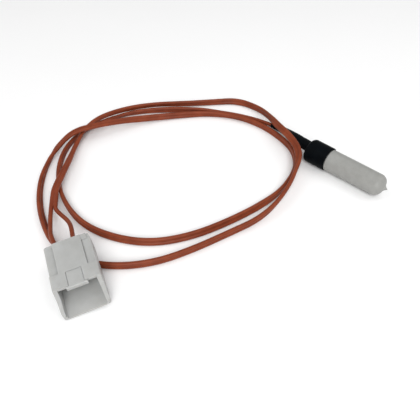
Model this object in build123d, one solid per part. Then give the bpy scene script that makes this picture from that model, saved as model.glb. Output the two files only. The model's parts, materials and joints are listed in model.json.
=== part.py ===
"""Closed-capsule sensor probe on a coiled flat twin lead, with a two-way hooded plug.

Frame: millimetres, +Z up, +X along the capsule towards its nib. The origin is at the centre of the
bottom of the box round the probe (capsule, boot and what they hold), on the surface it lies on.
"""
from build123d import *
import math
import os

# ---------------------------------------------------------------- driving dimensions (mm)
# probe
capsule_radius = 4.0
neck_radius = 3.6             # stepped-down rear of the capsule, under the boot
bore_radius = 2.9             # inside of the capsule
neck_start = -11.2            # open rear end of the capsule
step_start = -6.9             # where the neck meets the full diameter
nose_x = 14.55                # end of the nose, at the foot of the nib
nose_corner = 2.7             # radius of the rounded nose corner
bore_end = 13.3
nib_tip_x = 15.9
nib_radius = 0.95
nib_waist = 0.5
boot_radius = 4.25            # heat-shrink boot where it ends on the capsule
boot_front = -7.1
boot_rear = -15.9
boot_half_width = 4.6         # the boot is a little flattened at its rear
boot_shoulder = 1.4
boot_wall = 0.5
axis_z = boot_radius          # the boot rests on the surface

# parts inside the capsule
splice_y = 1.15               # half the distance between the two wires
bead_radius = 1.2
bead_centre_x = 10.2
chip_size = 0.8
bead_wire_radius = 0.15
bead_sleeve_radius = 0.5
splice_radius = 0.85
splice_start, splice_end = -4.6, 0.4
core_radius = 0.35            # stripped strands of one wire
probe_wire_end = -5.4         # where the insulation ends inside the capsule

# lead
wire_radius = 0.7             # one insulated wire
lead_radius = 0.99            # round tube of the same area as the two joined wires
sleeve_radius = 1.6           # tail sleeve over the lead
floor_z = 1.0                 # height of the lead's centre where it lies on the surface
over_z = 3.15                 # over one strand
top_z = 5.3                   # over two strands

# plug housing, in its own axes: x from the wire end to the mouth, z up from its underside
plug_width = 13.0
plug_length = 20.6
plug_top = 7.4
strip_top = 6.8               # lower side strips beside the centre panel
panel_width = 8.1
strip_length = 10.6
hood_length = 15.3
corner_round = 0.8
wall = 1.2
floor_thickness = 1.0
roof_thickness = 1.0
mouth_back = 8.0
ramp_start = 15.6
ramp_edge = 0.3
flare = 0.35                  # the side walls open outwards by this much at the mouth's front
way_pitch = 5.1               # between the two wires
way_shift = -0.45             # the pair of ways is a little away from the key
way_z = 3.5
way_width, way_height = 3.2, 3.2
tongue_width = 4.2
tongue_gap = 0.08
tongue_tip = 16.0
lip_width = 5.8
lip_length = 0.6
catch_depth = 0.5             # how far the lip's catch hangs below the roof
pivot_x = 11.1
pivot_clearance = 0.05
crease_width = 0.16           # shallow creases along the edges of the centre panel
crease_depth = 0.1
key_length = 1.8              # key at the rear of one strip
# terminals, along the plug's X
wire_crimp = (0.6, 2.2)
core_crimp = (2.7, 4.1)
terminal_strip = (2.0, 5.0)
contact_box = (4.6, 7.7)
contact_width, contact_height = 2.3, 2.5
sheet = 0.3                   # thickness of the terminals' metal
plug_position = (-39.1, -88.5, 2.2)
plug_turn, plug_nose_down, plug_lean = -22.7, 4.2, 4.6   # degrees about Z, then Y, then X

os.makedirs("parts", exist_ok=True)


# ---------------------------------------------------------------- helpers
def save(shape, node):
    """Write one node, and print its volume."""
    shape.label = node
    export_step(shape, f"parts/{node}.step")
    print(f"{node}: {shape.volume:.2f} mm3")


def rod(start, end, radius):
    """A straight round bar between two points."""
    start, end = Vector(*start), Vector(*end)
    plane = Plane(origin=start, z_dir=end - start)
    return extrude(plane * Circle(radius), (end - start).length)


def tube_x(start_x, end_x, outer, inner, y=0.0, z=0.0):
    """A hollow cylinder along X."""
    body = rod((start_x, y, z), (end_x, y, z), outer)
    return body - rod((start_x - 1, y, z), (end_x + 1, y, z), inner)


def block(x, y, z):
    """A box from three (low, high) pairs."""
    size = [high - low for low, high in (x, y, z)]
    centre = [(low + high) / 2 for low, high in (x, y, z)]
    return Pos(*centre) * Box(*size)


def bend_radii(points):
    """The largest arc that the two runs beside each corner allow."""
    radii = []
    for before, corner, after in zip(points, points[1:], points[2:]):
        first = Vector(*corner) - Vector(*before)
        second = Vector(*after) - Vector(*corner)
        half_turn = math.radians(first.get_angle(second)) / 2
        radii.append(0.45 * min(first.length, second.length) / math.tan(half_turn))
    return radii


def cord(points, radius, radii=None):
    """A round tube along straight runs joined by tangent arcs, and its path."""
    path = FilletPolyline(*points, radius=radii or bend_radii(points))
    start = Plane(origin=path @ 0, z_dir=path % 0)
    return sweep(start * Circle(radius), path=path), path


def revolved(points_and_edges):
    """A solid of revolution about X, from the edges of its upper half."""
    return revolve(make_face(points_and_edges), axis=Axis.X)


# ---------------------------------------------------------------- probe
on_axis = Pos(0, 0, axis_z)


def capsule_outline():
    """Outer half outline of the capsule, from its open rear to the tip of the nib."""
    nose = nose_x - nose_corner
    dome_y = capsule_radius - nose_corner
    tip_radius = 0.12
    corner = ThreePointArc(
        (nose, capsule_radius),
        (nose + nose_corner * math.sin(math.pi / 4) * 0.94, dome_y + nose_corner * math.cos(math.pi / 4)),
        (nose_x - 0.16, dome_y),
    )
    return Polyline((neck_start, neck_radius), (step_start, neck_radius),
                    (step_start, capsule_radius), (nose, capsule_radius)) \
        + corner \
        + Line((nose_x - 0.16, dome_y), (nose_x, nib_radius)) \
        + Polyline((nose_x, nib_radius), ((nose_x + nib_tip_x) / 2, nib_waist), (nib_tip_x, tip_radius),
                   (nib_tip_x, 0), (neck_start, 0), (neck_start, neck_radius))


def capsule_cavity():
    """The bore of the capsule, with a rounded end."""
    bore = rod((neck_start, 0, 0), (bore_end, 0, 0), bore_radius)
    return fillet(bore.edges().sort_by(Axis.X)[-1], 1.2)


def make_capsule():
    body = revolved(capsule_outline())
    return body - capsule_cavity()


def oval(x, half_width, half_height):
    """An oval section across X."""
    return Plane(origin=(x, 0, 0), x_dir=(0, 1, 0), z_dir=(-1, 0, 0)) * Ellipse(half_width, half_height)


def boot_body(inset):
    """The boot's form, or the form a given distance inside it: a barrel and a rounded rear."""
    rear = boot_rear + boot_shoulder
    radius, width = boot_radius - inset, boot_half_width - inset
    barrel = loft([oval(boot_front, radius, radius),
                   oval((boot_front + rear) / 2, (radius + width) / 2, radius),
                   oval(rear, width, radius)])
    cap = loft([oval(rear, width, radius),
                oval(rear - boot_shoulder * 0.65, width - 0.45, radius - 0.45),
                oval(boot_rear + inset, width - boot_shoulder, radius - boot_shoulder)])
    return barrel + cap


# ---------------------------------------------------------------- lead
# One lead, from the boot round two and a half loose turns to the plug. Chosen by hand.
lead_route = [
    (-13.4, 1.0, 4.5), (-17.0, 1.0, 4.5), (-23.0, 2.5, 4.2), (-31.0, 4.8, 3.0), (-40.0, 6.4, 1.4),
    # first turn, on the surface
    (-48.8, 5.5, floor_z), (-59.0, 0.9, floor_z), (-69.0, -6.6, floor_z), (-78.2, -15.6, floor_z),
    (-86.0, -25.3, floor_z), (-90.2, -35.6, floor_z), (-91.6, -46.3, floor_z), (-89.0, -57.0, floor_z),
    (-82.2, -66.2, floor_z), (-72.0, -73.6, floor_z), (-60.5, -78.6, floor_z), (-48.0, -80.0, floor_z),
    (-36.2, -76.8, floor_z), (-26.2, -69.3, floor_z), (-19.6, -58.0, floor_z), (-15.2, -45.5, floor_z),
    (-12.0, -33.0, floor_z), (-11.0, -22.0, floor_z), (-14.6, -10.6, floor_z),
    # second turn, inside the first, then over it at the far left
    (-21.6, -2.8, floor_z), (-31.0, 1.2, floor_z), (-42.5, 3.0, floor_z), (-53.0, 0.2, floor_z),
    (-62.5, -6.2, floor_z), (-70.5, -15.6, floor_z), (-78.2, -26.0, 1.8), (-84.8, -36.4, 4.4),
    (-88.2, -45.2, top_z), (-91.4, -54.0, top_z), (-91.6, -62.6, 2.2), (-85.4, -70.8, floor_z),
    (-76.4, -78.6, floor_z), (-66.0, -84.8, floor_z), (-56.0, -88.8, floor_z), (-46.5, -91.0, floor_z),
    # under the plug, and round again outside
    (-36.5, -88.4, floor_z), (-27.3, -82.4, floor_z), (-19.8, -73.2, floor_z), (-14.8, -62.0, floor_z),
    (-11.0, -49.6, floor_z), (-8.2, -37.4, floor_z), (-8.0, -25.5, 1.6), (-11.2, -14.4, 3.4),
    # up over the tail sleeve and down again
    (-16.8, -5.8, 5.8), (-24.0, 0.4, 6.6), (-32.0, 5.2, 5.9), (-41.0, 9.4, 3.4), (-50.5, 12.4, 1.4),
    (-61.0, 11.0, floor_z), (-69.4, 3.4, floor_z), (-77.0, -6.6, floor_z), (-84.4, -16.8, floor_z),
    (-90.6, -28.0, 1.4), (-93.2, -40.5, over_z), (-89.6, -50.8, over_z), (-83.2, -59.2, 1.8),
    (-75.6, -67.2, over_z), (-66.4, -77.4, over_z), (-60.2, -82.3, 2.4),
]
tail_runs = 3                 # whole runs of the lead under the tail sleeve
tail_share = 0.6              # and the share of the next run that it covers


def tail_points():
    """The part of the lead's route that the tail sleeve covers."""
    start, end = Vector(*lead_route[tail_runs]), Vector(*lead_route[tail_runs + 1])
    return lead_route[:tail_runs + 1] + [tuple(start + (end - start) * tail_share)]


# ---------------------------------------------------------------- plug
def plug_place():
    """Where the housing's own axes lie in the row's frame."""
    return (Pos(*plug_position) * Rot(0, 0, plug_turn) * Rot(0, plug_nose_down, 0)
            * Rot(plug_lean, 0, 0))


def in_plug(x, y, z):
    """A point in the housing's axes, in the row's frame."""
    place = plug_place() * Pos(x, y, z)
    return tuple(place.position)


def way_y(side):
    """Where the way on the given side (-1 or 1) lies across the housing."""
    return way_shift + side * way_pitch / 2


def side_profile():
    """Side view of the housing: full length at its floor, scooped back to the hood."""
    outline = Polyline(
        (0, 0), (plug_length, 0), (plug_length, ramp_edge + 0.7), (plug_length - 0.7, 2.6),
        (plug_length - 3.6, 4.4), (hood_length + 0.9, plug_top - 1.4), (hood_length, plug_top),
        (0, plug_top), (0, 0),
    )
    return make_face(Plane.XZ * outline)


def make_housing():
    """The moulded housing, open at its mouth, with two ways and a slot for the tongue."""
    half = plug_width / 2
    body = extrude(side_profile(), plug_width / 2, both=True)
    body = fillet(body.edges().filter_by(Axis.Z), corner_round)
    for side in (-1, 1):
        low, high = sorted((side * panel_width / 2, side * (half + 1)))
        body -= block((-1, strip_length), (low, high), (strip_top, plug_top + 1))
    # mouth, lower under the strips, with a ramp at its front edge
    inside = half - wall
    under_panel = panel_width / 2 - wall / 3
    roof = plug_top - roof_thickness
    hood_back = strip_length + roof_thickness
    body -= block((mouth_back, plug_length + 1), (-inside, inside),
                  (floor_thickness, strip_top - roof_thickness))
    body -= block((mouth_back, plug_length + 1), (-under_panel, under_panel), (floor_thickness, roof))
    body -= block((hood_back, plug_length + 1), (-inside, inside), (floor_thickness, roof))
    body -= block((hood_length, plug_length + 1), (-inside, inside), (floor_thickness, plug_top + 1))
    ramp = make_face(Plane.XZ * Polyline(
        (ramp_start, floor_thickness), (plug_length + 0.5, ramp_edge), (plug_length + 0.5, 2),
        (ramp_start, 2), (ramp_start, floor_thickness)))
    body -= extrude(ramp, inside, both=True)
    funnel = make_face(Plane.XY * Polyline(
        (ramp_start, -inside), (plug_length + 0.5, -inside - flare), (plug_length + 0.5, inside + flare),
        (ramp_start, inside), (ramp_start, -inside)))
    body -= Pos(0, 0, floor_thickness) * extrude(funnel, plug_top)
    # ways for the two terminals
    for side in (-1, 1):
        centre = way_y(side)
        body -= block((-1, mouth_back + 1), (centre - way_width / 2, centre + way_width / 2),
                      (way_z - way_height / 2, way_z + way_height / 2))
    # slot round the latch tongue, with a round seat at its root
    slot = tongue_width / 2 + tongue_gap
    pivot_z = plug_top - roof_thickness / 2
    body -= block((pivot_x, hood_length + 2), (-slot, slot), (roof - catch_depth, plug_top + 1))
    body -= rod((pivot_x, -slot, pivot_z), (pivot_x, slot, pivot_z), roof_thickness / 2 + pivot_clearance)
    # creases beside the panel, and a key at the rear of one strip
    for side in (-1, 1):
        centre = side * (panel_width + crease_width) / 2
        body -= block((corner_round, strip_length), (centre - crease_width / 2, centre + crease_width / 2),
                      (strip_top - crease_depth, plug_top + 1))
    body += block((0, key_length), (panel_width / 2 - 0.2, half - corner_round),
                  (strip_top - 0.2, plug_top - 0.2))
    return body


def make_tongue():
    """Latch tongue: a rounded root, a flat blade and a wider lip with a catch."""
    roof = plug_top - roof_thickness
    pivot_z = plug_top - roof_thickness / 2
    half = tongue_width / 2
    body = rod((pivot_x, -half, pivot_z), (pivot_x, half, pivot_z), roof_thickness / 2)
    body += block((pivot_x, tongue_tip), (-half, half), (roof, plug_top))
    lip_start = tongue_tip - lip_length
    body += block((lip_start, tongue_tip), (-lip_width / 2, lip_width / 2), (roof - catch_depth, plug_top))
    top_front = body.edges().filter_by(Axis.Y).group_by(Axis.X)[-1]
    return fillet(top_front, 0.3)


def make_terminal(side):
    """Socket terminal: crimped round the insulation and the strands, with a box contact."""
    y, z = way_y(side), way_z
    under = z - wire_radius - sheet
    body = tube_x(*wire_crimp, wire_radius + sheet, wire_radius + 0.02, y, z)
    body += tube_x(*core_crimp, core_radius + sheet, core_radius + 0.02, y, z)
    body += block(terminal_strip, (y - 0.45, y + 0.45), (under, under + sheet))
    body += block(core_crimp, (y - sheet, y + sheet), (under, z - core_radius - 0.1))
    half_width, half_height = contact_width / 2, contact_height / 2
    back, front = contact_box
    contact = block(contact_box, (y - half_width, y + half_width), (z - half_height, z + half_height))
    contact -= block((back + sheet, front + sheet), (y - half_width + sheet, y + half_width - sheet),
                     (z - half_height + sheet, z + half_height - sheet))
    top = z + half_height
    lance = block((back + 2 * sheet, front - 1), (y - 0.4, y + 0.4), (top - 0.05, top + 0.2))
    return body + contact + lance


wire_routes = {
    "wire_a": [(-60.5, -82.9, 2.4), (-57.3, -85.3, 2.6), (-52.2, -87.8, 3.7), (-46.3, -89.9, 4.9)],
    "wire_b": [(-59.6, -81.8, 2.4), (-56.0, -82.7, 2.7), (-50.0, -82.6, 3.8), (-43.8, -84.7, 5.1)],
}
plug_wire_end = 2.3           # where the insulation ends in the terminal
plug_core_end = 4.3


# ---------------------------------------------------------------- build
def build_probe():
    """The probe's nodes, in place."""
    nodes = {}
    sleeve, _ = cord(tail_points(), sleeve_radius, bend_radii(lead_route)[:tail_runs])
    lead, lead_path = cord(lead_route, lead_radius)
    nodes["tail_sleeve"] = sleeve - lead
    nodes["twin_lead"] = lead
    for name, side in (("a", -1), ("b", 1)):
        y = side * splice_y
        entry = Vector(*lead_route[0]) + Vector(0, side * (wire_radius + 0.05), 0)
        route = [tuple(entry), (entry.X + 1.4, entry.Y, entry.Z), (probe_wire_end - 3.6, y, axis_z),
                 (probe_wire_end, y, axis_z)]
        wire, _ = cord(route, wire_radius)
        nodes[f"probe_wire_{name}"] = wire
        core_end = splice_start + 2.2
        nodes[f"probe_core_{name}"] = rod((probe_wire_end, y, axis_z), (core_end, y, axis_z), core_radius)
        crimp = rod((splice_start, y, axis_z), (splice_end, y, axis_z), splice_radius)
        crimp -= rod((splice_start, y, axis_z), (core_end, y, axis_z), core_radius)
        crimp -= rod((core_end, y, axis_z), (splice_end, y, axis_z), bead_wire_radius)
        nodes[f"splice_crimp_{name}"] = crimp
        knee = bead_centre_x - 2.6
        leg = [(core_end, y, axis_z), (knee - 2.2, y, axis_z), (knee + 0.4, side * 0.5, axis_z),
               (bead_centre_x, side * 0.5, axis_z)]
        bead_wire, _ = cord(leg, bead_wire_radius)
        nodes[f"bead_lead_{name}"] = bead_wire
        sleeve_end = knee - 3.6
        nodes[f"bead_sleeve_{name}"] = tube_x(splice_end, sleeve_end, bead_sleeve_radius,
                                              bead_wire_radius, y, axis_z)
    chip = Pos(bead_centre_x, 0, axis_z) * Box(chip_size, chip_size - 0.1, chip_size)
    nodes["thermistor_chip"] = chip
    bead = Pos(bead_centre_x, 0, axis_z) * Rot(0, 90, 0) * Cylinder(bead_radius, 3.6)
    bead = fillet(bead.edges(), bead_radius * 0.95)
    nodes["bead_coating"] = bead - chip - nodes["bead_lead_a"] - nodes["bead_lead_b"]
    for name in ("a", "b"):
        nodes[f"bead_lead_{name}"] -= chip
    capsule = on_axis * make_capsule()
    nodes["capsule"] = capsule
    filling = on_axis * capsule_cavity()
    for node in nodes:
        if node not in ("capsule", "twin_lead", "tail_sleeve"):
            filling -= nodes[node]
    nodes["potting"] = filling
    shell = on_axis * boot_body(0)
    inside = on_axis * boot_body(boot_wall)
    capsule_outside = on_axis * rod((neck_start, 0, 0), (boot_front + 1, 0, 0), neck_radius)
    behind = 2 * boot_half_width
    liner = inside & (on_axis * block((boot_rear, neck_start), (-behind, behind), (-behind, behind)))
    nodes["boot"] = shell - liner - capsule_outside - sleeve - lead
    for piece in (sleeve, lead, nodes["probe_wire_a"], nodes["probe_wire_b"]):
        liner -= piece
    nodes["adhesive_liner"] = liner
    return nodes, lead_path


def build_plug(lead):
    """The plug's nodes, and the two single wires from the end of the lead."""
    place = plug_place()
    nodes = {
        "plug_housing": place * make_housing(),
        "latch_tongue": place * make_tongue(),
    }
    for name, side in (("a", -1), ("b", 1)):
        y = way_y(side)
        nodes[f"terminal_{name}"] = place * make_terminal(side)
        nodes[f"plug_core_{name}"] = place * rod((plug_wire_end, y, way_z), (plug_core_end, y, way_z),
                                                 core_radius)
        route = wire_routes[f"wire_{name}"] + [in_plug(-0.6, y, way_z), in_plug(plug_wire_end, y, way_z)]
        wire, _ = cord(route, wire_radius)
        print(f"wire_{name} radii:", [round(radius, 1) for radius in bend_radii(route)])
        nodes[f"wire_{name}"] = wire - lead
    return nodes


probe_nodes, lead_path = build_probe()
plug_nodes = build_plug(probe_nodes["twin_lead"])
print("twin_lead radii:", [round(radius, 1) for radius in bend_radii(lead_route)])
section = math.pi * lead_radius**2
print(f"twin_lead length {lead_path.length:.1f} mm, volume over section times length "
      f"{probe_nodes['twin_lead'].volume / (section * lead_path.length):.4f}")
for node, shape in {**probe_nodes, **plug_nodes}.items():
    save(shape, node)
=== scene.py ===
"""Looks of a capsule sensor probe with a boot, a coiled flat twin lead and a two-way hooded plug.

Everything is in metres, in the CAD model's frame: +X along the capsule towards its nib, +Z up.
"""
import json
import math

import bmesh
import bpy
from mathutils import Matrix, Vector, noise


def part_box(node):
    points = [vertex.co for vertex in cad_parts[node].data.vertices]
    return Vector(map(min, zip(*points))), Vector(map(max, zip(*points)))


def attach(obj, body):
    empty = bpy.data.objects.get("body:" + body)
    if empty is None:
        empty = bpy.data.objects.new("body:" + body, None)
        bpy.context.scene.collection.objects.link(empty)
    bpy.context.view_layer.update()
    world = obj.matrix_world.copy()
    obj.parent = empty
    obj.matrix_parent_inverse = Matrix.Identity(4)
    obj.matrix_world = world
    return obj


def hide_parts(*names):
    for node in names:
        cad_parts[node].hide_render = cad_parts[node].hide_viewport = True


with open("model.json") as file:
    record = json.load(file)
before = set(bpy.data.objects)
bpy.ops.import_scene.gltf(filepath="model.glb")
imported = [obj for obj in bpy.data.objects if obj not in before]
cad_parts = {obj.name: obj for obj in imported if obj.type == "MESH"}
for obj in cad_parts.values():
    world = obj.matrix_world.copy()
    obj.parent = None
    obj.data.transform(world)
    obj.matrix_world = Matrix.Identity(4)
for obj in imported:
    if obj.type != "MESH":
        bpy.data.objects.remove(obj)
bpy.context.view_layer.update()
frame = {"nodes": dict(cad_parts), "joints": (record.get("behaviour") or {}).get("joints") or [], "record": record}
scene = bpy.context.scene
UP = Vector((0, 0, 1))

# ---------------------------------------------------------------- camera, lights and floor
camera_place = (0.04468, -0.11621, 0.10172)
camera_target = (-0.02354, -0.04553, 0)
sensor_mm = 36
lens_mm = 36
near_clip = 0.005
lit_spot = (-0.03, -0.04, 0)  # the middle of the coil
# Name, place, diameter and watts of each round light.
studio_lights = [
    ("key", (0.16, 0.22, 0.55), 0.6, 1.2),
    ("fill", (-0.45, -0.35, 0.5), 0.6, 0.9),
    ("front", (0.33, -0.4, 0.45), 0.45, 3.2),
]
sky_strength = 0.42
floor_half = 2.0

# ---------------------------------------------------------------- capsule and boot
nib_length = 0.00135
# The nib's outline: how far past the nose, and its radius there.
nib_outline = [(0.0001, 0.0013), (0.0003, 0.00095), (0.0006, 0.00062), (0.0009, 0.00038),
               (0.00115, 0.0002), (nib_length, 0.00007)]
nose_corner = 0.0027
front_share = 0.965           # the capsule tapers to this share of its radius
neck_share = 0.9              # its rear, inside the boot, is thinner
neck_length = 0.0043
neck_step = 0.0001
boot_slack = 0.0001           # the shrunk boot is this much looser than its CAD node
boot_wall = 0.00026
boot_lip = 0.0012             # its inner wall is modelled this far back from its front
boot_rim = 0.0003             # its straight part starts this far back
rim_bevel = 0.00006           # of both edges of the rim, and of the inner edge across the wall
rim_bevel_out = 0.00008       # of the outer edge across the wall
boot_shoulder = 0.0017
boot_back_share = 0.3         # the flat disc at its back, as a share of its radius
shrunk_from = 0.0002          # behind the rim's face
wrinkle_height = 0.00005
wrinkle_scale = 260           # cells of noise per metre along the boot
wrinkle_turn = 1.4            # round it, the noise is read on a circle of this radius, in cells

# ---------------------------------------------------------------- tail sleeve
sleeve_length = 0.0237
sleeve_wall = 0.0003
sleeve_swell = 0.0006         # extra half-width at the boot, falling to none at the free end
swell_lift = 1.8              # the swell is this much greater across the lead's thin side
ripple_height = 0.00004
ripple_turns = 4.5            # wrinkles along the sleeve
sleeve_squareness = (0.8, 0.9)    # powers that fill out an ellipse, 1 for none, along its two axes

# ---------------------------------------------------------------- plug
housing_edge = 0.0002         # width of the rounded edges
tongue_edge = 0.00008
same_spot = 1e-6              # vertices nearer than this are one
flat_angle = math.radians(2)  # faces that meet at less are one face
corner_angle = math.radians(35)   # edges sharper than this are rounded
way_behind_mouth = 0.0153     # where the wires enter the plug
way_pitch = 0.0051
way_shift = -0.00045          # of the pair of ways, sideways
way_drop = 0.0002
wire_bend = 0.0006            # the wires' last bend is this far before the ways,
wire_bend_aside = 0.0005      # and this far to one side of them
wire_inside = 0.0023          # how far inside the ways the wires end

# ---------------------------------------------------------------- lead and single wires
wire_radius = 0.0007          # one insulated wire
single_radius = wire_radius * 0.99    # a hair thinner, so that the lead's end covers it
lobe_offset = 0.00065         # the flat lead is two wires side by side, joined by a thin web
web_share = 0.62              # half the web's thickness, as a share of the wire's radius
# Route of the lead: x, y, z of its middle and its lean in degrees, 0 flat and 90 on its edge.
lead_route = [
    # in the boot and the tail sleeve
    (-0.0134, 0.001, 0.0045, 180), (-0.017, 0.001, 0.0045, 180), (-0.023, 0.0025, 0.0042, 175),
    (-0.031, 0.0048, 0.003, 165), (-0.04, 0.0063, 0.0013, 146),
    # first turn, on the surface
    (-0.0485, 0.00455, 0.0011, 145), (-0.0585, 0.0001, 0.0011, 145), (-0.0685, -0.0069, 0.00133, 112),
    (-0.0779, -0.0159, 0.00136, 95), (-0.0857, -0.0254, 0.0013, 115), (-0.0903, -0.0356, 0.0011, 150),
    (-0.0914, -0.0463, 0.00115, 140), (-0.0886, -0.0571, 0.00133, 112), (-0.0819, -0.0661, 0.00137, 92),
    (-0.072, -0.0736, 0.00137, 88), (-0.0605, -0.0782, 0.00137, 92), (-0.048, -0.0797, 0.00136, 100),
    (-0.0364, -0.07645, 0.00133, 108), (-0.0258, -0.06945, 0.00133, 107), (-0.0188, -0.05855, 0.00132, 112),
    (-0.0146, -0.04585, 0.00132, 110), (-0.0119, -0.03335, 0.00134, 108), (-0.0112, -0.0223, 0.00136, 85),
    (-0.0143, -0.0098, 0.00136, 90),
    # second turn, inside the first, then over it at the far left
    (-0.0212, -0.0013, 0.00136, 88), (-0.0311, 0.0022, 0.00136, 90), (-0.0426, 0.0033, 0.00134, 102),
    (-0.05335, 0.00065, 0.0013, 120), (-0.063, -0.0056, 0.00136, 98), (-0.0709, -0.0155, 0.0015, 80),
    (-0.078, -0.0264, 0.002, 65), (-0.0823, -0.0381, 0.0042, 20), (-0.0851, -0.047, 0.0052, 8),
    (-0.0879, -0.0552, 0.0053, 0), (-0.0884, -0.0625, 0.0023, -20), (-0.0837, -0.0702, 0.0014, -72),
    (-0.0757, -0.0782, 0.00137, -98), (-0.0657, -0.0846, 0.00136, -108), (-0.0561, -0.0884, 0.00133, -116),
    (-0.0465, -0.0908, 0.00137, -110),
    # under the plug, and round again outside
    (-0.0362, -0.0888, 0.00138, -100), (-0.0267, -0.08275, 0.00137, -88), (-0.0193, -0.07345, 0.00137, -88),
    (-0.0148, -0.06215, 0.00137, -90), (-0.0113, -0.04965, 0.00137, -90), (-0.0078, -0.03815, 0.0019, -95),
    (-0.0083, -0.0266, 0.0029, -108), (-0.0114, -0.015, 0.004, -98),
    # over the tail sleeve and down again
    (-0.0166, -0.005, 0.0058, -150), (-0.025, -0.0008, 0.0066, -148), (-0.0326, 0.0023, 0.0059, -138),
    (-0.0407, 0.008, 0.0034, -95), (-0.0502, 0.0121, 0.0015, -96), (-0.0607, 0.0104, 0.00139, -110),
    (-0.0677, 0.002, 0.00142, -90), (-0.0753, -0.0078, 0.0017, -80), (-0.0827, -0.0179, 0.0028, -60),
    (-0.0886, -0.0293, 0.00325, -65), (-0.09093, -0.04147, 0.0037, -60), (-0.0887, -0.051, 0.00335, -45),
    (-0.0826, -0.0595, 0.002, -44), (-0.0746, -0.06735, 0.0035, -22), (-0.06665, -0.0771, 0.00367, -10),
    (-0.0635, -0.0797, 0.00295, 0), (-0.0603, -0.08215, 0.0025, 0),
]
# The two wires after the lead is split, from the split into the plug.
single_routes = {
    "wire_a": [(-0.06427, -0.07993, 0.00305), (-0.06165, -0.08194, 0.00262), (-0.06, -0.0832, 0.00245),
               (-0.0567, -0.08535, 0.0027), (-0.053, -0.0875, 0.0032), (-0.0492, -0.0895, 0.0042),
               (-0.0459, -0.0907, 0.00495)],
    "wire_b": [(-0.06348, -0.07889, 0.00305), (-0.06086, -0.0809, 0.00262), (-0.0592, -0.0821, 0.00245),
               (-0.0574, -0.08245, 0.0026), (-0.0545, -0.0825, 0.0028), (-0.0515, -0.0826, 0.0033),
               (-0.0483, -0.0831, 0.0041), (-0.0452, -0.0843, 0.0048), (-0.0424, -0.0857, 0.0052)],
}


# ---------------------------------------------------------------- making the camera and the lights
def aimed(name, data, place, target):
    """A camera or a light at a place, looking at a target."""
    thing = bpy.data.objects.new(name, data)
    thing.location = place
    thing.rotation_mode = "QUATERNION"
    thing.rotation_quaternion = (Vector(target) - Vector(place)).to_track_quat("-Z", "Y")
    scene.collection.objects.link(thing)
    return thing


def make_camera():
    data = bpy.data.cameras.new("camera")
    data.sensor_width = sensor_mm
    data.lens = lens_mm
    data.clip_start = near_clip
    scene.camera = aimed("camera", data, camera_place, camera_target)


def make_lights():
    """Round area lights over the object, and a white sky."""
    for name, place, diameter, watts in studio_lights:
        data = bpy.data.lights.new(name, "AREA")
        data.shape = "DISK"
        data.size = diameter
        data.energy = watts
        aimed(name, data, place, lit_spot)
    world = bpy.data.worlds.new("studio")
    world.use_nodes = True
    sky = world.node_tree.nodes["Background"]
    sky.inputs["Color"].default_value = (1, 1, 1, 1)
    sky.inputs["Strength"].default_value = sky_strength
    scene.world = world
    scene.view_settings.view_transform = "Standard"


# ---------------------------------------------------------------- materials
colour_band = (0.32, 0.68)    # the noise values where a colour is all dark, and all light
gloss_band = (0.3, 0.7)       # the noise values of the lowest and the highest roughness
gloss_fineness = 2.3          # spots of roughness are this much finer than those of colour


def add_node(tree, kind, inputs=None, **settings):
    """A new shader node, with its settings, and its sockets set to values or joined to others."""
    node = tree.nodes.new("ShaderNode" + kind)
    for key, value in settings.items():
        setattr(node, key, value)
    for key, value in (inputs or {}).items():
        if isinstance(value, bpy.types.NodeSocket):
            tree.links.new(value, node.inputs[key])
        else:
            node.inputs[key].default_value = value
    return node


def speckle(tree, where, scale, detail=3.0, roughness=0.55):
    """Noise of a scale given in spots per metre."""
    return add_node(tree, "TexNoise", {"Vector": where, "Scale": scale, "Detail": detail,
                                       "Roughness": roughness}).outputs["Fac"]


def ramp(tree, fac, *stops):
    """A colour ramp through (position, colour) stops."""
    node = add_node(tree, "ValToRGB", {"Fac": fac})
    elements = node.color_ramp.elements
    for element, (position, colour) in zip(elements, stops):
        element.position = position
        element.color = (*colour, 1)
    for position, colour in stops[2:]:
        elements.new(position).color = (*colour, 1)
    return node.outputs["Color"]


def make_material(name, dark, light, patches, rough, grain, grain_height, stretch=(1, 1, 1),
                  **shader_values):
    """A moulded, extruded or metal surface: patchy colour and roughness, and a fine raised grain.

    dark and light are the patches' colours; patches and grain are in spots per metre; rough is the
    lowest and highest roughness; grain_height is in metres; stretch scales the spots along X, Y and Z;
    shader_values set the shader's own sockets.
    """
    material = bpy.data.materials.new(name)
    material.use_nodes = True
    tree = material.node_tree
    shader = tree.nodes["Principled BSDF"]
    where = add_node(tree, "TexCoord").outputs["Object"]
    where = add_node(tree, "Mapping", {"Vector": where, "Scale": stretch}).outputs["Vector"]
    colour = ramp(tree, speckle(tree, where, patches), (colour_band[0], dark), (colour_band[1], light))
    tree.links.new(colour, shader.inputs["Base Color"])
    gloss = add_node(tree, "MapRange", {"Value": speckle(tree, where, patches * gloss_fineness),
                                        "From Min": gloss_band[0], "From Max": gloss_band[1],
                                        "To Min": rough[0], "To Max": rough[1]})
    tree.links.new(gloss.outputs["Result"], shader.inputs["Roughness"])
    height = speckle(tree, where, grain, detail=4.0, roughness=0.6)
    bump = add_node(tree, "Bump", {"Height": height, "Distance": grain_height, "Strength": 1.0})
    tree.links.new(bump.outputs["Normal"], shader.inputs["Normal"])
    for socket, value in shader_values.items():
        shader.inputs[socket.replace("_", " ")].default_value = value
    return material


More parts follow.
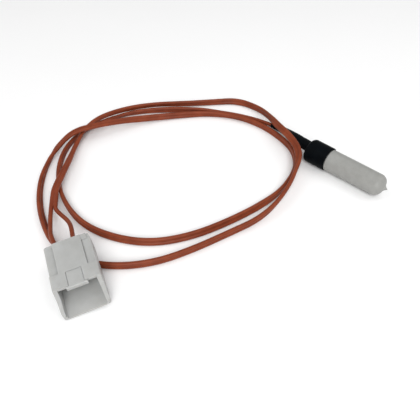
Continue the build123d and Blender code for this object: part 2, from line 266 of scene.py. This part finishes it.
# The finish of each of the record's material slots.
finishes = {
    "capsule_white": dict(
        dark=(0.275, 0.275, 0.26), light=(0.315, 0.315, 0.3), patches=380, rough=(0.42, 0.55),
        grain=5200, grain_height=0.000012, Specular_IOR_Level=0.35),
    "heat_shrink": dict(
        dark=(0.0008, 0.0014, 0.002), light=(0.0018, 0.0028, 0.004), patches=420, rough=(0.42, 0.6),
        grain=3800, grain_height=0.00003, Specular_IOR_Level=0.05),
    "hot_melt": dict(
        dark=(0.20, 0.14, 0.07), light=(0.30, 0.22, 0.12), patches=300, rough=(0.25, 0.4),
        grain=2000, grain_height=0.00001),
    "epoxy": dict(
        dark=(0.02, 0.02, 0.022), light=(0.05, 0.05, 0.052), patches=500, rough=(0.3, 0.5),
        grain=3000, grain_height=0.00001),
    "chip": dict(
        dark=(0.08, 0.08, 0.09), light=(0.15, 0.15, 0.16), patches=4000, rough=(0.5, 0.7),
        grain=9000, grain_height=0.000005),
    "bead_glass": dict(
        dark=(0.5, 0.3, 0.16), light=(0.6, 0.4, 0.24), patches=1500, rough=(0.08, 0.15),
        grain=3000, grain_height=0.000004, Transmission_Weight=0.6),
    "lead_insulation": dict(
        dark=(0.168, 0.0295, 0.008), light=(0.234, 0.0455, 0.0143), patches=210, rough=(0.4, 0.54),
        grain=6500, grain_height=0.000012, Specular_IOR_Level=0.25),
    "tinned_copper": dict(
        dark=(0.55, 0.53, 0.5), light=(0.72, 0.7, 0.67), patches=2500, rough=(0.25, 0.4),
        grain=9000, grain_height=0.00001, stretch=(0.15, 1, 1), Metallic=1.0),
    "lead_sleeving": dict(
        dark=(0.6, 0.59, 0.55), light=(0.78, 0.77, 0.73), patches=3000, rough=(0.6, 0.8),
        grain=9000, grain_height=0.00003),
    "splice_metal": dict(
        dark=(0.5, 0.46, 0.38), light=(0.68, 0.64, 0.55), patches=1500, rough=(0.25, 0.45),
        grain=5000, grain_height=0.00001, Metallic=1.0),
    "terminal_brass": dict(
        dark=(0.48, 0.42, 0.30), light=(0.66, 0.60, 0.46), patches=1200, rough=(0.25, 0.42),
        grain=5000, grain_height=0.00001, Metallic=1.0),
    "housing_white": dict(
        dark=(0.385, 0.387, 0.377), light=(0.42, 0.424, 0.416), patches=300, rough=(0.4, 0.55),
        grain=6000, grain_height=0.00001, Specular_IOR_Level=0.3, Subsurface_Weight=0.4,
        Subsurface_Radius=(1, 0.95, 0.85), Subsurface_Scale=0.0015),
}


def make_floor():
    """A plain pale floor under the object."""
    mesh = bpy.data.meshes.new("floor")
    corners = [(a * floor_half, b * floor_half, 0) for a, b in ((-1, -1), (1, -1), (1, 1), (-1, 1))]
    mesh.from_pydata(corners, [], [(0, 1, 2, 3)])
    floor = bpy.data.objects.new("floor", mesh)
    scene.collection.objects.link(floor)
    paper = make_material("floor", dark=(0.94, 0.94, 0.94), light=(0.95, 0.95, 0.95), patches=12,
                          rough=(0.8, 0.9), grain=400, grain_height=0.00002, Specular_IOR_Level=0.1)
    mesh.materials.append(paper)


# ---------------------------------------------------------------- building pieces
def add_piece(name, mesh, slot, body="harness"):
    """Links a finished mesh as a piece of the object, with its finish and its body."""
    piece = bpy.data.objects.new(name, mesh)
    scene.collection.objects.link(piece)
    mesh.materials.clear()
    mesh.materials.append(materials[slot])
    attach(piece, body)
    return piece


def finished(work, name):
    """A mesh from a bmesh, with outward and smooth faces."""
    bmesh.ops.recalc_face_normals(work, faces=work.faces)
    for face in work.faces:
        face.smooth = True
    mesh = bpy.data.meshes.new(name)
    work.to_mesh(mesh)
    work.free()
    return mesh


def skin(work, rings):
    """Faces between rings of vertices."""
    for ring, following in zip(rings, rings[1:]):
        for k, corner in enumerate(ring):
            after = (k + 1) % len(ring)
            work.faces.new((corner, ring[after], following[after], following[k]))


def smooth_line(route, steps=14):
    """Points along the NURBS spline that has a route's points as its control points."""
    curve = bpy.data.curves.new("line", "CURVE")
    curve.dimensions = "3D"
    curve.resolution_u = steps
    spline = curve.splines.new("NURBS")
    spline.points.add(len(route) - 1)
    for point, place in zip(spline.points, route):
        point.co = (*place[:3], 1)
    spline.order_u = 3
    spline.use_endpoint_u = True
    holder = bpy.data.objects.new("line", curve)
    mesh = bpy.data.meshes.new_from_object(holder)
    line = [vertex.co.copy() for vertex in mesh.vertices]
    bpy.data.objects.remove(holder)
    bpy.data.curves.remove(curve)
    bpy.data.meshes.remove(mesh)
    return line


def swept(name, line, outline_at, lean_at=None):
    """A closed mesh along a line. outline_at(i) gives its outline, and lean_at(i) turns it, in radians."""
    work = bmesh.new()
    rings = []
    for i, place in enumerate(line):
        forward = line[min(i + 1, len(line) - 1)] - line[max(i - 1, 0)]
        across = forward.cross(UP).normalized()
        high = across.cross(forward).normalized()
        lean = lean_at(i) if lean_at else 0.0
        turned_across = across * math.cos(lean) + high * math.sin(lean)
        turned_high = high * math.cos(lean) - across * math.sin(lean)
        rings.append([work.verts.new(place + turned_across * a + turned_high * b)
                      for a, b in outline_at(i)])
    skin(work, rings)
    work.faces.new(rings[0])
    work.faces.new(rings[-1])
    return finished(work, name)


def circle(radius, steps=20):
    return [(radius * math.cos(2 * math.pi * k / steps), radius * math.sin(2 * math.pi * k / steps))
            for k in range(steps)]


def twin_outline(radius, offset, steps=11):
    """Two round lobes with a shallow groove where the wires are joined."""
    groove = math.asin(web_share)
    outline = []
    for middle, turn in ((offset, 0.0), (-offset, math.pi)):
        for k in range(steps + 1):
            angle = turn - (math.pi - groove) * (1 - 2 * k / steps)
            outline.append((middle + radius * math.cos(angle), radius * math.sin(angle)))
    return outline


# ---------------------------------------------------------------- lead
def lean_along(route, line):
    """The lean at each point of a line, in radians, from the leans of its route's points."""
    leans = []
    for i in range(len(line)):
        # A spline of n points has n - 2 spans, and passes nearest to its point k halfway along span k.
        at = 0.5 + i / (len(line) - 1) * (len(route) - 2)
        low = int(at)
        share = at - low
        ease = share * share * (3 - 2 * share)
        leans.append(math.radians(route[low][3] + (route[low + 1][3] - route[low][3]) * ease))
    return leans


def make_lead():
    """The flat twin lead, from inside the boot to where its wires part."""
    line = smooth_line(lead_route)
    leans = lean_along(lead_route, line)
    outline = twin_outline(wire_radius, lobe_offset)
    mesh = swept("flat_twin_lead", line, lambda i: outline, lambda i: leans[i])
    lead = add_piece("flat_twin_lead", mesh, "lead_insulation")
    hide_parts("twin_lead")
    return lead, line, leans


def plug_axes():
    """The place of the plug's mouth, and the plug's own X, Y and Z axes, from its mouth and its latch."""
    mouth = next(m for m in frame["record"]["mounts"] if m["name"] == "plug_mouth")
    ahead = Vector(mouth["axis"]).normalized()
    hinge = frame["joints"][0]
    aside = -Vector(hinge["axis"]).normalized()
    return Vector(mouth["pos_m"]), ahead, aside, ahead.cross(aside)


def make_single_wires():
    """The two wires between the lead's end and the plug's ways."""
    mouth, ahead, aside, above = plug_axes()
    wires = []
    for side, (node, route) in zip((-1, 1), single_routes.items()):
        way = (mouth - ahead * way_behind_mouth + aside * (side * way_pitch / 2 + way_shift)
               - above * way_drop)
        ends = [way - ahead * wire_bend - aside * wire_bend_aside, way + ahead * wire_inside]
        line = smooth_line(route + [tuple(end) for end in ends], steps=18)
        mesh = swept(f"single_{node}", line, lambda i: circle(single_radius))
        wire = add_piece(f"single_{node}", mesh, "lead_insulation")
        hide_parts(node)
        wires.append((wire, line))
    return wires


def filled(value, power):
    """A value from -1 to 1, with its size raised to a power."""
    return math.copysign(abs(value) ** power, value)


def make_tail_sleeve(line, leans):
    """Shrunk tubing round the lead behind the boot, thin-walled, with a few slack wrinkles."""
    length = 0.0
    last = 1
    while length < sleeve_length:
        length += (line[last] - line[last - 1]).length
        last += 1

    def outline(i, steps=28):
        share = i / (last - 1)
        swell = sleeve_swell * (1 - share)
        ripple = ripple_height * math.sin(ripple_turns * 2 * math.pi * share) * (1 - share)
        thick = wire_radius + sleeve_wall + swell_lift * swell + ripple
        wide = 2 * wire_radius + sleeve_wall + swell + ripple
        points = []
        for k in range(steps):
            angle = 2 * math.pi * k / steps
            points.append((wide * filled(math.cos(angle), sleeve_squareness[0]),
                           thick * filled(math.sin(angle), sleeve_squareness[1])))
        return points

    mesh = swept("tail_tubing", line[:last], outline, lambda i: leans[i])
    sleeve = add_piece("tail_tubing", mesh, "heat_shrink")
    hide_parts("tail_sleeve")
    return sleeve


# ---------------------------------------------------------------- probe
def arc_points(centre_x, centre_r, radius, start, end, steps):
    """(x, r) points on an arc, with angles in degrees from +X towards +r."""
    points = []
    for k in range(steps + 1):
        angle = math.radians(start + (end - start) * k / steps)
        points.append((centre_x + radius * math.cos(angle), centre_r + radius * math.sin(angle)))
    return points


def lathe(name, profile, height, steps=96, tune=None):
    """A surface of revolution about the line y = 0, z = height. tune(x, r, angle) may change each r."""
    work = bmesh.new()
    rings = []
    for x, r in profile:
        ring = []
        for k in range(steps):
            angle = 2 * math.pi * k / steps
            far = tune(x, r, angle) if tune else r
            ring.append(work.verts.new((x, far * math.cos(angle), height + far * math.sin(angle))))
        rings.append(ring)
    skin(work, rings)
    work.faces.new(rings[0])
    work.faces.new(rings[-1])
    return finished(work, name)


def make_capsule():
    """Closed round capsule with a rounded nose and a moulding nib."""
    low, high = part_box("capsule")
    radius = (high.y - low.y) / 2
    axis_z = (high.z + low.z) / 2
    nose = high.x - nib_length
    front_radius = radius * front_share
    neck_end = low.x + neck_length
    profile = [(low.x, radius * neck_share), (neck_end, radius * neck_share), (neck_end, radius)]
    start = neck_end + neck_step
    end = nose - nose_corner
    steps = 12
    for k in range(steps):
        profile.append((start + (end - start) * k / steps, radius + (front_radius - radius) * k / steps))
    profile += arc_points(end, front_radius - nose_corner, nose_corner, start=90, end=12, steps=10)
    profile += [(nose + past, r) for past, r in nib_outline]
    mesh = lathe("sensor_capsule", profile, axis_z)
    capsule = add_piece("sensor_capsule", mesh, "capsule_white")
    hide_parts("capsule")


def make_boot():
    """Heat-shrink boot: thin front rim, faint shrink wrinkles and a rounded, flattened rear."""
    low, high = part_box("boot")
    radius = (high.z - low.z) / 2 + boot_slack
    wide = (high.y - low.y) / 2 + boot_slack
    axis_z = (high.z + low.z) / 2 + boot_slack
    rim = high.x
    rear = low.x - boot_slack
    inside = radius - boot_wall
    profile = [(rim - boot_lip, inside), (rim - rim_bevel, inside), (rim, inside + rim_bevel),
               (rim, radius - rim_bevel_out), (rim - rim_bevel, radius)]
    start = rim - boot_rim
    straight = start - rear - boot_shoulder
    steps = 26
    profile += [(start - straight * k / steps, radius) for k in range(steps)]
    profile += arc_points(rear + boot_shoulder, radius - boot_shoulder, boot_shoulder, start=90, end=180,
                          steps=12)
    profile += [(rear, radius * boot_back_share)]

    def shrink(x, r, angle):
        """The radius where the boot has shrunk: oval towards the rear, and wrinkled behind its rim."""
        if x >= rim - shrunk_from:
            return r
        back = min(1.0, max(0.0, (rim - x) / (rim - rear - boot_shoulder)))
        oval = 1 + (wide / radius - 1) * back * math.cos(angle) ** 2
        spot = Vector((x * wrinkle_scale, math.cos(angle) * wrinkle_turn, math.sin(angle) * wrinkle_turn))
        return r * oval + (noise.noise(spot) - 1) * wrinkle_height * back

    mesh = lathe("heat_shrink_boot", profile, axis_z, steps=112, tune=shrink)
    boot = add_piece("heat_shrink_boot", mesh, "heat_shrink")
    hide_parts("boot")


# ---------------------------------------------------------------- plug
def moulded(node, name, slot, body, edge):
    """A CAD node's form with the small rounded edges of a moulding."""
    work = bmesh.new()
    work.from_mesh(frame["nodes"][node].data)
    bmesh.ops.remove_doubles(work, verts=work.verts, dist=same_spot)
    bmesh.ops.dissolve_limit(work, angle_limit=flat_angle, verts=work.verts, edges=work.edges)
    mesh = finished(work, name)
    piece = add_piece(name, mesh, slot, body)
    bevel = piece.modifiers.new("moulded edges", "BEVEL")
    bevel.width = edge
    bevel.segments = 3
    bevel.limit_method = "ANGLE"
    bevel.angle_limit = corner_angle
    bevel.harden_normals = True
    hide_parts(node)
    return piece


# ---------------------------------------------------------------- scene
make_camera()
make_lights()
materials = {slot: make_material(slot, **finish) for slot, finish in finishes.items()}
make_floor()
lead, lead_line, lead_leans = make_lead()
tail = make_tail_sleeve(lead_line, lead_leans)
single_wires = make_single_wires()
housing = moulded("plug_housing", "hooded_plug", "housing_white", "harness", housing_edge)
tongue = moulded("latch_tongue", "latch_blade", "housing_white", "latch", tongue_edge)
make_capsule()
make_boot()

# The CAD's own nodes, which show where no piece stands for them.
for part in frame["record"]["subparts"]:
    node = frame["nodes"][part["node"]]
    node.data.materials.clear()
    node.data.materials.append(materials[part["material_slot"]])
